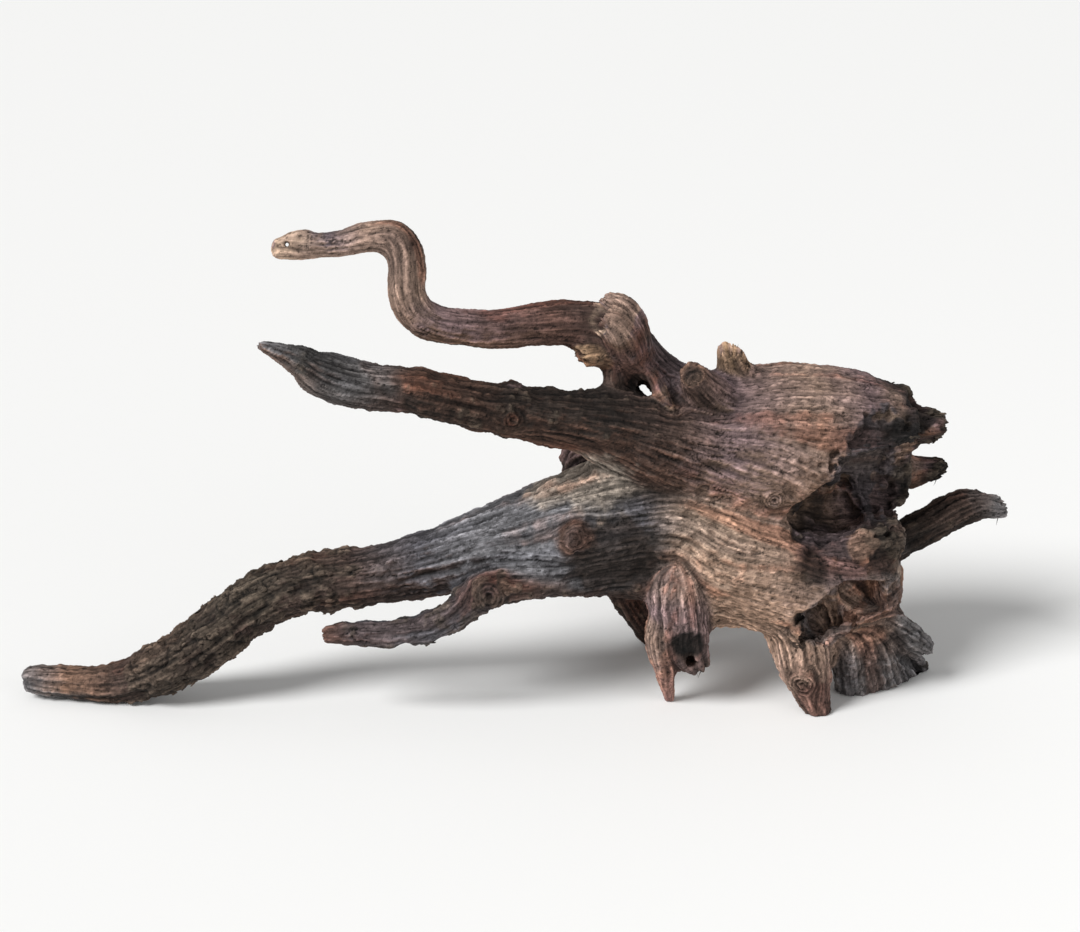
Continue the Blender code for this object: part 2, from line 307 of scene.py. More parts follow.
# torn and rotted places, and patches of near-black painted shade in the hollows: (limb, share, angle round
# it, out, reach, depth, edge, raggedness, tone)
scarsAndShadePatches = [
    ("stump", 0.86, -8, 0.8, 40, 5, 0.06, 0.35, "charBlue"),
    ("stump", 0.68, -30, 1.0, 20, 3, 0.15, 0.35, "paintedHollowShade"),
    ("stump", 0.8, -30, 0.8, 20, 6, 0.12, 0.25, "paintedHollowShade"),
    ("stump", 1.0, 75, 0.7, 15, 6, 0.1, 0.25, "paintedHollowShade"),
    ("stump", 0.62, -38, 1.05, 15, 4, 0.15, 0.3, "paintedHollowShade"),
    ("stump", 0.66, -45, 0.95, 26, 2, 0.2, 0.3, "paintedHollowShade"),
    ("stump", 0.98, 20, 0.9, 24, 2, 0.2, 0.35, "char"),
    ("rim", 0.45, 20, 0.8, 26, 1, 0.35, 0.45, "rimPurple"),
    ("rim", 0.15, -20, 1.0, 14, 2, 0.25, 0.3, "deepBrown"),
    ("rim", 0.8, 0, 0.8, 18, 1, 0.3, 0.45, "deepBrown"),
    ("rim", 0.65, 10, 1.0, 11, 0.6, 0.15, 0.3, "orangeCut"),
    ("rim", 0.35, -30, 1.0, 9, 0.6, 0.15, 0.3, "orangeCut"),
    ("mass", 0.7, -20, 0.9, 20, 5, 0.08, 0.25, "scoopGrey"),
    ("mass", 0.6, -28, 0.85, 14, 5, 0.2, 0.2, "paintedHollowShade"),
    ("mainRoot", 0.13, -10, 0.95, 30, 2.5, 0.22, 0.35, "darkBrown"),
    ("knotStub", 0.9, 0, 0, 13, 0, 0.25, 0.25, "redBrown"),
    ("collar", 0.75, 45, 1.0, 24, 0, 0.35, 0.4, "cream"),
    ("collar", 1.0, 70, 1.0, 18, 0, 0.35, 0.4, "cream"),
    ("spur", 0.75, 10, 1.0, 11, 3, 0.2, 0.25, "paintedHollowShade"),
    ("column", 0.75, 0, 0.9, 14, 0.5, 0.3, 0.45, "rustyBrown"),
    ("roundStub", 1.0, 0, 0.4, 8, 1.5, 0.12, 0.15, "darkBrown"),
    ("upperRoot", 0.24, -30, 1.1, 9, 2, 0.2, 0.25, "deepBrown"),
]


def scarAmount(points, scar, lumps):  # 1 inside a scar, with a ragged edge
    limb, share, around, out, reach, depth, edge, ragged, tone = scar
    gap = np.linalg.norm(points - np.array(onLimb(limb, share, around, out)) * mm, axis=1) / (reach * mm)
    return smoothStep(-edge, edge, 1 - gap + ragged * lumps)


def scarred(points, faces):
    normals = pointNormals(points, faces)
    lumps = layeredNoise(points, 9 * mm, 101, 3)
    shift = np.zeros(len(points))
    for scar in scarsAndShadePatches:
        shift += scarAmount(points, scar, lumps) * scar[5]
    return points - normals * (shift * mm)[:, None]


# the skin as arrays

def unit(vectors):
    return vectors / np.maximum(np.linalg.norm(vectors, axis=-1, keepdims=True), 1e-9)


def smoothStep(low, high, values):
    t = np.clip((values - low) / (high - low), 0, 1)
    return t * t * (3 - 2 * t)


def neighbourTable(faces, count, width=12):
    pairs = np.concatenate([faces[:, [a, b]] for a in range(4) for b in range(4) if a != b])
    keys = np.unique(pairs[:, 0].astype(np.int64) * count + pairs[:, 1])
    first = keys // count
    rank = np.arange(len(first)) - np.searchsorted(first, np.arange(count))[first]
    table = np.repeat(np.arange(count)[:, None], width, 1)
    fits = rank < width
    table[first[fits], rank[fits]] = (keys % count)[fits]
    return table


def pointNormals(points, faces):
    across = np.cross(points[faces[:, 2]] - points[faces[:, 0]], points[faces[:, 3]] - points[faces[:, 1]])
    total = np.zeros_like(points)
    for corner in range(4):
        for axis in range(3):
            total[:, axis] += np.bincount(faces[:, corner], across[:, axis], len(points))
    return unit(total)


def spread(values, table, times):  # averages with the neighbours
    for _ in range(times):
        values = values[table].mean(axis=1)
    return values


def latticeNoise(points, cell, seed):  # smooth noise from -1 to 1, one lump per cell of that size in metres
    scaled = points / cell + seed * 17.31
    base = np.floor(scaled).astype(np.int64)
    t = scaled - base
    t = t * t * t * (t * (t * 6 - 15) + 10)
    total = np.zeros(len(points))
    for corner in range(8):
        step = np.array([corner & 1, corner >> 1 & 1, corner >> 2 & 1])
        key = (base + step) @ np.array([73856093, 19349663, 83492791]) + seed * 2654435761
        key = (key ^ (key >> 13)) * 1274126177 & 0xFFFFFFFF
        value = ((key ^ (key >> 16)) & 0xFFFF) / 32767.5 - 1
        weight = np.prod(np.where(step, t, 1 - t), axis=1)
        total += value * weight
    return total


def layeredNoise(points, cell, seed, layers=3):
    total = np.zeros(len(points))
    for layer in range(layers):
        total += latticeNoise(points, cell / 2 ** layer, seed + layer) / 2 ** layer
    return total / 1.6


def evened(values):  # to mean 0 and spread 1
    return (values - values.mean()) / max(values.std(), 1e-9)


def sampledRoute(route, spacing=2.0):  # points, radii and directions along a smooth line through the route
    stops = np.array(route, float)
    padded = np.vstack([2 * stops[0] - stops[1], stops, 2 * stops[-1] - stops[-2]])
    pieces = []
    for i in range(len(stops) - 1):
        p0, p1, p2, p3 = padded[i:i + 4]
        count = max(2, int(np.linalg.norm(p2[:3] - p1[:3]) / spacing))
        t = (np.arange(count) / count)[:, None]
        pieces.append(0.5 * (2 * p1 + (p2 - p0) * t + (2 * p0 - 5 * p1 + 4 * p2 - p3) * t ** 2
                             + (3 * p1 - p0 - 3 * p2 + p3) * t ** 3))
    line = np.vstack(pieces + [stops[-1:]])
    return line[:, :3] * mm, line[:, 3] * mm


def limbTable():  # every limb of the root: its part, its line, its radii and its directions
    limbs = []
    for name, route in {**broadRoutes, **narrowRoutes}.items():
        kind = name.rstrip("0123456789")
        line, radii = sampledRoute(route)
        share = np.linspace(0, 1, len(line))
        if (line[-1] - line[0]) @ np.array([-1, 0, -0.5]) < 0:
            line = line[::-1]
            radii = radii[::-1]
            share = share[::-1]
        limbs.append({"part": partOf[kind], "name": kind, "line": line, "radii": radii, "share": share,
                      "heading": unit(np.gradient(line, axis=0))})
    return limbs


def alongRamp(stops, share):  # the value or colour of a ramp of (share, value)
    places = [stop[0] for stop in stops]
    values = np.array([toLinear(tones[stop[1]]) if isinstance(stop[1], str) else [stop[1]] for stop in stops])
    return np.stack([np.interp(share, places, values[:, k]) for k in range(values.shape[1])], axis=1)


def nearestOnLine(points, line):
    best = np.full(len(points), 1e9)
    index = np.zeros(len(points), int)
    for k, spot in enumerate(line):
        gap = ((points - spot) ** 2).sum(axis=1)
        closer = gap < best
        best[closer] = gap[closer]
        index[closer] = k
    return np.sqrt(best), index


def measureLimbs(points, limbs):  # direction of growth, share of each part, colours and bark
    count = len(points)
    flow = np.zeros((count, 3))
    total = np.full(count, 1e-9)
    top = np.zeros(count)
    radius = np.zeros(count)
    shares = {part: np.zeros(count) for part in partLimbs}
    ground = np.zeros((count, 3))
    under = np.zeros((count, 3))
    bark = np.zeros(count)
    shaken = warped(points, 6 * mm, 14 * mm, 85) + warped(points, 2.5 * mm, 5 * mm, 81) - points
    topHeading = np.tile([-1.0, 0, 0], (count, 1))
    for limb in limbs:
        reach = limb["radii"].max() * 1.5 + 0.012
        low = limb["line"].min(axis=0) - reach
        high = limb["line"].max(axis=0) + reach
        near = np.where(((points > low) & (points < high)).all(axis=1))[0]
        gap, index = nearestOnLine(points[near], limb["line"])
        ratio = gap / limb["radii"][index]
        weight = 1 / (0.02 + (ratio - 1) ** 2) ** 2
        heading = limb["heading"][index]
        aligned = np.sign((heading * topHeading[near]).sum(axis=1, keepdims=True) + 1e-6)
        flow[near] += heading * aligned * weight[:, None]
        total[near] += weight
        shares[limb["part"]][near] += weight
        reached = limb["share"][nearestOnLine(shaken[near], limb["line"])[1]]
        look = looks.get(limb["name"], looks[limb["part"]])
        ground[near] += weight[:, None] * alongRamp(look["top"], reached)
        under[near] += weight[:, None] * alongRamp(look["under"], reached)
        bark[near] += weight * alongRamp(look.get("bark", [(0, 0.0)]), reached)[:, 0]
        win = weight > top[near]
        winners = near[win]
        top[winners] = weight[win]
        topHeading[winners] = (heading * aligned)[win]
        radius[winners] = limb["radii"][index][win]
    for part in shares:
        shares[part] /= total
    return flow, shares, ground / total[:, None], under / total[:, None], bark / total, radius


def grainFlow(flow, normals, table, rounds=8):  # the direction of growth, along the surface and evened out
    flow = unit(flow - normals * (flow * normals).sum(axis=1, keepdims=True))
    for _ in range(rounds):
        around = flow[table]
        sign = np.sign((around * flow[:, None]).sum(axis=2, keepdims=True) + 1e-6)
        flow = (around * sign).sum(axis=1)
        flow = unit(flow - normals * (flow * normals).sum(axis=1, keepdims=True))
    return flow


def bendRound(flow, normals, points, centre, size):  # the grain parts and closes again round a knot
    offset = points - np.array(centre) * mm
    offset = offset - normals * (offset * normals).sum(axis=1, keepdims=True)
    squared = np.maximum((offset ** 2).sum(axis=1, keepdims=True), (size * mm * 0.25) ** 2)
    away = offset / np.sqrt(squared)
    strength = np.minimum((size * mm) ** 2 / squared, 1.6)
    near = (((points - np.array(centre) * mm) ** 2).sum(axis=1, keepdims=True) < (size * mm * 5) ** 2)
    bent = flow - strength * (2 * (flow * away).sum(axis=1, keepdims=True) * away - flow) * near
    return unit(bent)


def grainPaths(points, normals, flow, table, steps=8, stride=0.9 * mm):
    count = len(points)
    paths = {}
    everyPoint = np.arange(count)
    for sign in (1, -1):
        here = everyPoint
        place = points.copy()
        heading = flow * sign
        for step in range(1, steps + 1):
            place = place + heading * stride
            near = table[here]
            gap = ((points[near] - place[:, None]) ** 2).sum(axis=2)
            here = near[everyPoint, gap.argmin(axis=1)]
            lift = ((place - points[here]) * normals[here]).sum(axis=1, keepdims=True)
            place = place - normals[here] * lift
            turned = np.sign((flow[here] * heading).sum(axis=1, keepdims=True) + 1e-6)
            heading = flow[here] * turned
            paths[sign * step] = here
    return paths


def alongGrain(values, paths, reach):  # smears values along the grain over about that many millimetres
    steps = int(min(8, max(1, reach / 2 / 0.9)))
    total = values.copy()
    for step in range(1, steps + 1):
        total += values[paths[step]] + values[paths[-step]]
    total /= 2 * steps + 1
    ahead = paths[8]
    behind = paths[-8]
    length = 15
    while length < reach:
        total = (total + (total[ahead] + total[behind]) / 2) / 2
        ahead = ahead[ahead]
        behind = behind[behind]
        length *= 2
    return evened(total)


# what the wood looks like along each limb; reaches, depths and heights are in millimetres

# relief of each part in millimetres, how many pores and cracks it has, and how strong its streaks are
feel = {
    "stump": {"ridge": 0.12, "furrow": 0.08, "fibre": 0.22, "lump": 0.5, "pore": 0.5, "crack": 0.35,
              "contrast": 0.55},
    "lower": {"ridge": 0.18, "furrow": 0.08, "fibre": 0.22, "lump": 0.6, "pore": 0.5, "crack": 0.25,
              "contrast": 0.6},
    "main": {"ridge": 0.35, "furrow": 0.3, "fibre": 0.3, "lump": 0.45, "pore": 0.35, "crack": 0.9,
             "contrast": 0.85},
    "upper": {"ridge": 0.08, "furrow": 0.13, "fibre": 0.24, "lump": 0.2, "pore": 0.3, "crack": 0.3,
              "contrast": 0.85},
    "middle": {"ridge": 0.3, "furrow": 0.3, "fibre": 0.34, "lump": 0.45, "pore": 0.3, "crack": 0.7,
               "contrast": 0.9},
    "side": {"ridge": 0.3, "furrow": 0.25, "fibre": 0.3, "lump": 0.5, "pore": 0.2, "crack": 0.6,
             "contrast": 0.9},
    "back": {"ridge": 0.3, "furrow": 0.3, "fibre": 0.3, "lump": 0.4, "pore": 0.3, "crack": 0.6,
             "contrast": 1.0},
    "right": {"ridge": 0.4, "furrow": 0.3, "fibre": 0.3, "lump": 0.5, "pore": 0.3, "crack": 0.7,
              "contrast": 0.7},
    "spur": {"ridge": 0.15, "furrow": 0.2, "fibre": 0.4, "lump": 0.3, "pore": 0.5, "crack": 0.3,
             "contrast": 0.9},
    "foot": {"ridge": 0.35, "furrow": 0.3, "fibre": 0.34, "lump": 0.5, "pore": 0.3, "crack": 0.8,
             "contrast": 0.9},
    "stubs": {"ridge": 0.3, "furrow": 0.3, "fibre": 0.35, "lump": 0.2, "pore": 0.2, "crack": 0.5,
              "contrast": 1.0},
}
tones = {  # weathered wood, sRGB
    "paleTan": (175, 150, 130), "tan": (150, 125, 110), "orangeTan": (160, 130, 110),
    "mauve": (120, 100, 100), "greyViolet": (105, 92, 95), "rustyBrown": (95, 70, 62),
    "warmBrown": (110, 85, 70), "umber": (75, 60, 54), "darkBrown": (48, 39, 34),
    "deepBrown": (38, 31, 27), "redBrown": (82, 60, 50), "darkBark": (52, 50, 48),
    "ashGrey": (100, 97, 97), "blueGrey": (112, 111, 114), "slate": (76, 74, 78),
    # soot is no colour of the wood: it is near-black painted shade for the hollows
    "barkBrown": (72, 63, 54), "cream": (160, 148, 136), "char": (24, 22, 20), "charBlue": (60, 57, 60),
    "paintedHollowShade": (10, 10, 10), "scoopGrey": (100, 88, 84), "rimPurple": (88, 75, 76),
    "orangeCut": (145, 116, 100), "ochre": (140, 114, 90),
}
# the underneath colours are partly the wood's own colour and partly painted shade and painted warm bounce
# light on the undersides
looks = {  # each part's or limb's colours along it, on top and underneath, and how thick its bark is
    "stump": {"top": [(0, "tan"), (0.3, "mauve"), (0.6, "tan"), (0.8, "mauve"), (0.95, "char")],
              "under": [(0, "paleTan"), (0.3, "tan"), (0.6, "warmBrown"), (0.85, "umber"), (1, "char")],
              "bark": [(0.8, 0.0), (0.95, 1.2)]},
    "lower": {"top": [(0, "paleTan"), (0.5, "tan"), (0.85, "scoopGrey"), (1, "ashGrey")],
              "under": [(0, "orangeTan"), (0.5, "orangeTan"), (1, "umber")],
              "bark": [(0.85, 0.0), (1, 0.8)]},
    "rim": {"top": [(0, "rimPurple"), (0.4, "rustyBrown"), (0.75, "orangeCut"), (1, "rimPurple")],
            "under": [(0, "orangeCut"), (0.5, "rustyBrown"), (1, "umber")],
            "bark": [(0, 1.2), (1, 1.4)]},
    "main": {"top": [(0, "paleTan"), (0.1, "slate"), (0.2, "blueGrey"), (0.3, "blueGrey"),
                     (0.4, "slate"), (0.5, "umber"), (0.62, "barkBrown"), (0.85, "umber"),
                     (0.93, "warmBrown"), (1, "ashGrey")],
             "under": [(0, "tan"), (0.1, "darkBark"), (0.25, "slate"), (0.4, "umber"), (0.6, "umber"),
                       (0.9, "darkBrown"), (1, "ashGrey")],
             "bark": [(0.36, 0.0), (0.45, 0.6), (0.58, 1.3), (0.82, 1.5), (0.88, 0.0)]},
    "collar": {"top": [(0, "paleTan"), (1, "cream")], "under": [(0, "darkBark"), (1, "darkBark")]},
    "knotStub": {"top": [(0, "darkBrown"), (1, "warmBrown")],
                 "under": [(0, "deepBrown"), (1, "umber")]},
    "upper": {"top": [(0, "mauve"), (0.15, "greyViolet"), (0.35, "umber"), (0.45, "rustyBrown"),
                      (0.65, "mauve"), (0.72, "tan"), (0.8, "umber"), (0.86, "tan"),
                      (0.94, "greyViolet"), (1, "paleTan")],
              "under": [(0, "rustyBrown"), (0.4, "rustyBrown"), (0.6, "warmBrown"), (0.75, "tan"),
                        (1, "tan")]},
    "tipUpper": {"top": [(0, "tan"), (1, "paleTan")], "under": [(0, "tan"), (1, "paleTan")]},
    "tipLower": {"top": [(0, "tan"), (1, "paleTan")], "under": [(0, "tan"), (1, "paleTan")]},
    "brokenPeg": {"top": [(0, "warmBrown"), (1, "ochre")], "under": [(0, "umber"), (1, "ochre")]},
    "strut": {"top": [(0, "umber"), (1, "darkBrown")], "under": [(0, "umber"), (1, "darkBrown")]},
    "middle": {"top": [(0, "mauve"), (0.15, "umber"), (0.35, "deepBrown"), (0.6, "darkBrown"),
                       (0.85, "redBrown"), (1, "umber")],
               "under": [(0, "redBrown"), (0.3, "redBrown"), (0.6, "redBrown"), (0.8, "deepBrown"),
                         (1, "umber")],
               "bark": [(0.3, 0.4), (0.7, 0.8), (0.9, 0.3)]},
    "blade": {"top": [(0, "umber"), (0.3, "ashGrey"), (0.7, "darkBark"), (1, "ashGrey")],
              "under": [(0, "deepBrown"), (0.4, "ashGrey"), (1, "warmBrown")],
              "bark": [(0, 0.2), (0.6, 0.5)]},
    "side": {"top": [(0, "darkBrown"), (0.3, "umber"), (0.5, "rustyBrown"), (0.6, "slate"),
                     (0.92, "slate"), (1, "umber")],
             "under": [(0, "darkBrown"), (0.45, "umber"), (0.7, "slate"), (1, "umber")],
             "bark": [(0, 0.6), (0.5, 1.1), (1, 0.5)]},
    "back": {"top": [(0, "mauve"), (0.5, "rustyBrown"), (1, "umber")],
             "under": [(0, "umber"), (1, "umber")],
             "bark": [(0, 0.5), (1, 0.8)]},
    "right": {"top": [(0, "char"), (0.4, "darkBrown"), (0.75, "umber"), (1, "ashGrey")],
              "under": [(0, "char"), (0.8, "darkBrown"), (1, "ashGrey")],
              "bark": [(0, 0.4), (0.8, 0.5)]},
    "spur": {"top": [(0, "paleTan"), (0.4, "mauve"), (1, "umber")],
             "under": [(0, "tan"), (0.5, "mauve"), (1, "darkBrown")]},
    "spike": {"top": [(0, "tan"), (1, "tan")], "under": [(0, "tan"), (1, "mauve")]},
    "foot": {"top": [(0, "tan"), (0.3, "ashGrey"), (1, "ashGrey")],
             "under": [(0, "umber"), (1, "ashGrey")],
             "bark": [(0.5, 0.3), (1, 0.9)]},
    "column": {"top": [(0, "orangeTan"), (0.35, "tan"), (0.7, "rustyBrown"), (1, "deepBrown")],
               "under": [(0, "orangeTan"), (0.5, "tan"), (1, "umber")]},
    "knob": {"top": [(0, "tan"), (1, "rustyBrown")], "under": [(0, "tan"), (1, "rustyBrown")]},
    "stubs": {"top": [(0, "mauve"), (1, "warmBrown")], "under": [(0, "umber"), (1, "umber")]},
    "splitStub": {"top": [(0, "mauve"), (0.6, "ochre"), (1, "ochre")],
                  "under": [(0, "umber"), (1, "ochre")]},
    "splitStubRight": {"top": [(0, "mauve"), (0.6, "ochre"), (1, "ochre")],
                       "under": [(0, "umber"), (1, "umber")]},
}
tornEnds = {  # limbs whose ends have loose fibres, and how far these stand out
    "upperEnd": 6, "backEnd": 6, "rightRoot": 5, "sideRoot": 2.5, "blade": 1.5, "bladeEdge": 3,
    "brokenPeg": 4, "frontLump": 4, "backLump": 4, "splitStub": 2, "splitStubRight": 2, "strut": 4,
    "tongue": 2, "finger": 3, "spur": 2.5,
}
knots = [  # (limb, share, angle round it, size, height, rings): the grain goes round each of them
    ("knotStub", 1.0, 0, 10, 1.0, 4), ("sideRoot", 0.52, 5, 9, 1.6, 3), ("stump", 0.46, -18, 6, 1.2, 3),
    ("middleRoot", 0.58, 0, 6, 1.0, 2), ("knob", 1.0, 0, 8, 1.2, 3), ("roundStub", 1.0, 0, 7, -0.8, 3),
    ("stump", 0.4, 180, 12, 2.5, 3), ("stump", 0.65, 140, 8, 1.5, 3), ("mainRoot", 0.35, 180, 8, 1.5, 3),
    ("backRoot", 0.4, 90, 6, 1.0, 2),
]
turns = [  # (limb, share, angle round it, reach, direction): where the grain turns off a limb's own line
    ("stump", 0.1, -50, 24, (0.55, 0, -1)), ("mass", 0.1, 10, 22, (0.9, 0, -0.8)),
    ("mass", 0.3, 5, 24, (1, 0, 0.05)), ("stump", 0.3, 0, 22, (1, 0, -0.5)),
    ("stump", 0.55, 0, 24, (0.9, 0, -0.9)), ("mass", 0.5, 5, 18, (1, 0, -0.2)),
]


def toLinear(colour):
    share = np.array(colour, float) / 255
    return np.where(share < 0.04045, share / 12.92, ((share + 0.055) / 1.055) ** 2.4)


def placed(points, place, reach):  # 1 at the place, fading over its reach
    gap = ((points - np.array(place) * mm) ** 2).sum(axis=1) / (reach * mm) ** 2
    return np.exp(-1.2 * np.minimum(gap, 30))


def partValue(shares, key):
    return sum(share * feel[part][key] for part, share in shares.items())


def warped(points, amount, cell, seed):  # the same points, shaken, so that painted edges are ragged
    shake = np.stack([latticeNoise(points, cell, seed + axis) for axis in range(3)], axis=1)
    return points + shake * amount


# carving the surface

def carve(points, faces):
    count = len(points)
    table = neighbourTable(faces, count)
    normals = pointNormals(points, faces)
    report("neighbours")
    flow, shares, ground, under, thickness, radius = measureLimbs(points, limbTable())
    for part in shares:
        shares[part] = spread(shares[part], table, 6)
    report("limbs measured")
    for limb, share, around, reach, direction in turns:
        pull = placed(points, onLimb(limb, share, around), reach)[:, None] * 1.6
        sign = np.sign(flow @ np.array(direction) + 1e-6)[:, None]
        flow = unit(flow + unit(np.array(direction, float)) * sign * pull)
    flow = grainFlow(flow, normals, table)
    for limb, share, around, size, rise, rings in knots:
        flow = bendRound(flow, normals, points, onLimb(limb, share, around), size)
    flow = grainFlow(flow, normals, table, 2)
    report("grain laid")
    paths = grainPaths(points, normals, flow, table)
    report("grain traced")
    rng = np.random.default_rng(11)
    grit = rng.standard_normal(count)
    speckle = evened(spread(rng.standard_normal(count), table, 1))
    ridge = alongGrain(layeredNoise(points, 7 * mm, 3, 2), paths, 60)
    furrow = alongGrain(latticeNoise(points, 2.8 * mm, 9) + 0.25 * speckle, paths, 40)
    fibre = alongGrain(speckle, paths, 18)
    fine = alongGrain(grit, paths, 9)
    dash = alongGrain(speckle, paths, 3)
    crackLine = alongGrain(layeredNoise(points, 10 * mm, 21, 2), paths, 100)
    stain = alongGrain(layeredNoise(points, 12 * mm, 31, 2), paths, 70)
    report("streaks made")

    lumps = layeredNoise(points, 8 * mm, 51, 3)
    crust = smoothStep(0.40, 0.60, thickness / 2.2 + 0.42 * lumps)
    drawn = points * (0.4, 1, 1)  # plates are longer than wide
    splits = np.exp(-(layeredNoise(drawn, 9 * mm, 57, 2) / 0.08) ** 2)
    splits = np.maximum(splits, 0.5 * np.exp(-(layeredNoise(drawn, 4 * mm, 59, 2) / 0.10) ** 2))
    scales = evened(layeredNoise(drawn, 5 * mm, 61, 3))
    broad = evened(layeredNoise(points, 16 * mm, 63, 2))
    crustHeight = crust * (0.5 + 0.3 * thickness + 0.35 * scales - 1.1 * splits) + 0.45 * thickness * broad

    gate = smoothStep(-0.1, 0.4, latticeNoise(points, 26 * mm, 71))
    crack = (1 - smoothStep(0.02, 0.10, np.abs(crackLine))) * gate
    pores = smoothStep(0.55, 1.3, dash) * np.clip(partValue(shares, "pore"), 0, 1.2) * (1 - 0.7 * crust)

    height = partValue(shares, "ridge") * ridge * (1 - 0.4 * crust)
    height += partValue(shares, "furrow") * furrow
    height += partValue(shares, "fibre") * (0.7 * fibre + 0.4 * fine)
    height -= partValue(shares, "crack") * 1.3 * crack
    height -= 0.8 * pores
    height += crustHeight + partValue(shares, "lump") * evened(lumps)
    ringMark = np.zeros(count)
    for limb, share, around, size, rise, rings in knots:
        gap = np.linalg.norm(points - np.array(onLimb(limb, share, around)) * mm, axis=1) / (size * mm)
        wobble = gap * (1 + 0.12 * lumps)
        near = 1 - smoothStep(0.8, 1.5, wobble)
        ring = np.cos(wobble * rings * 2 * math.pi) * near
        pit = 1 - smoothStep(0.15, 0.4, wobble)
        height += rise * (near - 1.2 * pit) + 0.7 * ring
        ringMark = np.maximum(ringMark, near * (0.5 - 0.5 * ring))
    height = np.clip(height, -4, 5)
    slim = np.clip(radius / (9 * mm), 0.3, 1)  # gentler on the thin ends
    moved = points + normals * (height * slim * mm)[:, None]
    torn = np.zeros(count)
    for limb, length in tornEnds.items():
        before, tip = np.array(routes[limb][-2]), np.array(routes[limb][-1])
        hold = placed(points, tip[:3], tip[3] * 1.1)
        torn = np.maximum(torn, hold)
        out = unit(tip[:3] - before[:3])
        pull = hold * length * (0.8 * furrow + 0.5 * fibre) * mm
        moved += out * np.clip(pull, -0.8 * length * mm, 1.2 * length * mm)[:, None]
    moved[:, 2] = np.maximum(moved[:, 2], 0)
    report("carved")

    normals = pointNormals(moved, faces)
    hollow = ((spread(moved, table, 10) - moved) * normals).sum(axis=1) / mm
    deep = ((spread(moved, table, 60) - moved) * normals).sum(axis=1) / mm
    fields = {"furrow": furrow, "fibre": fibre, "fine": fine, "crack": crack, "pores": pores, "crust": crust,
              "stain": stain, "hollow": hollow, "deep": deep, "rings": ringMark, "splits": splits * crust,
              "contrast": partValue(shares, "contrast"), "ground": ground, "under": under, "torn": torn,
              "flow": flow, "normals": normals, "lumps": lumps}
    return moved, fields


# colouring it

# strengths of the marks; scar also sets how strongly the near-black painted shade goes into the hollows
wearAndShade = {"crack": 0.75, "pore": 0.55, "ring": 0.35, "split": 0.7, "darkest": 0.92, "scar": 0.85, "crust": 0.62,
        "rust": 0.4, "cool": 0.2, "depth": 0.72}


def colourWood(points, fields):
    # painted light: surfaces facing up take the top tone, surfaces facing down take the underside tone, which
    # holds painted shade and painted bounce light
    litTopShare = smoothStep(-0.6, 0.5, fields["normals"][:, 2] + 0.5 * fields["lumps"])[:, None]
    colour = fields["ground"] * litTopShare + fields["under"] * (1 - litTopShare)
    # each patch paints its tone in, real scars and near-black painted shade in the hollows alike
    for scar in scarsAndShadePatches:
        amount = wearAndShade["scar"] * scarAmount(points, scar, fields["lumps"])[:, None]
        colour = colour * (1 - amount) + amount * toLinear(tones[scar[8]])
    rust = smoothStep(0.3, 1.5, fields["stain"] + 0.8 * fields["lumps"]) * wearAndShade["rust"]
    colour = colour * (1 - rust[:, None]) + colour * toLinear((255, 196, 168)) * 1.15 * rust[:, None]
    cool = smoothStep(0.3, 1.5, -fields["stain"]) * wearAndShade["cool"]
    colour = colour * (1 - cool[:, None]) + colour * toLinear((228, 236, 255)) * 1.1 * cool[:, None]
    crust = fields["crust"][:, None]
    barkTone = toLinear(tones["barkBrown"]) * (1 + 0.35 * fields["lumps"][:, None])
    colour = colour * (1 - wearAndShade["crust"] * crust) + barkTone * wearAndShade["crust"] * crust
    streak = 0.26 * fields["fibre"] + 0.14 * fields["furrow"] + 0.2 * fields["fine"] + 0.16 * fields["lumps"]
    colour = colour * np.exp(np.clip(streak * fields["contrast"], -1.1, 0.9))[:, None]
    # painted shade in hollows and crevices, and painted highlight on ridges where the surface bulges out
    shade = np.clip(fields["hollow"], -1, 1.2) * 0.5 + np.clip(fields["deep"], -1, 4) * 0.14
    colour = colour * np.exp(-shade)[:, None]
    dark = wearAndShade["crack"] * fields["crack"] + wearAndShade["pore"] * fields["pores"] + wearAndShade["ring"] * fields["rings"]
    dark = np.clip(dark + wearAndShade["split"] * fields["splits"], 0, wearAndShade["darkest"])
    return colour * (1 - dark[:, None]) * wearAndShade["depth"]


# the finished piece

def storeAttribute(mesh, name, kind, values):
    attribute = mesh.attributes.new(name, kind, "POINT")
    key = {"FLOAT": "value", "FLOAT_VECTOR": "vector", "FLOAT_COLOR": "color"}[kind]
    attribute.data.foreach_set(key, np.ascontiguousarray(values, np.float32).ravel())


def cutAt(mesh, low, high):  # the part between two planes across x, closed at both
    part = bmesh.new()
    part.from_mesh(mesh)
    for place, side in ((low, -1), (high, 1)):
        if place is None:
            continue
        everything = part.verts[:] + part.edges[:] + part.faces[:]
        made = bmesh.ops.bisect_plane(part, geom=everything, plane_co=(place, 0, 0), plane_no=(side, 0, 0),
                                      clear_outer=True)
        rim = [item for item in made["geom_cut"] if isinstance(item, bmesh.types.BMEdge)]
        for edge in rim:
            edge.smooth = False
        bmesh.ops.triangle_fill(part, use_beauty=True, use_dissolve=False, edges=rim, normal=(side, 0, 0))
    cut = bpy.data.meshes.new("rootWood")
    part.to_mesh(cut)
    part.free()
    cut.materials.append(wood)
    shading = np.empty(len(cut.vertices) * 3, np.float32)
    cut.attributes["shading"].data.foreach_get("vector", shading)
    cut.attributes.remove(cut.attributes["shading"])
    cut.normals_split_custom_set_from_vertices(unit(shading.reshape(-1, 3)).tolist())
    return cut


pieceSettings = {"count": 5, "flakes": 14000, "splinters": 5200}

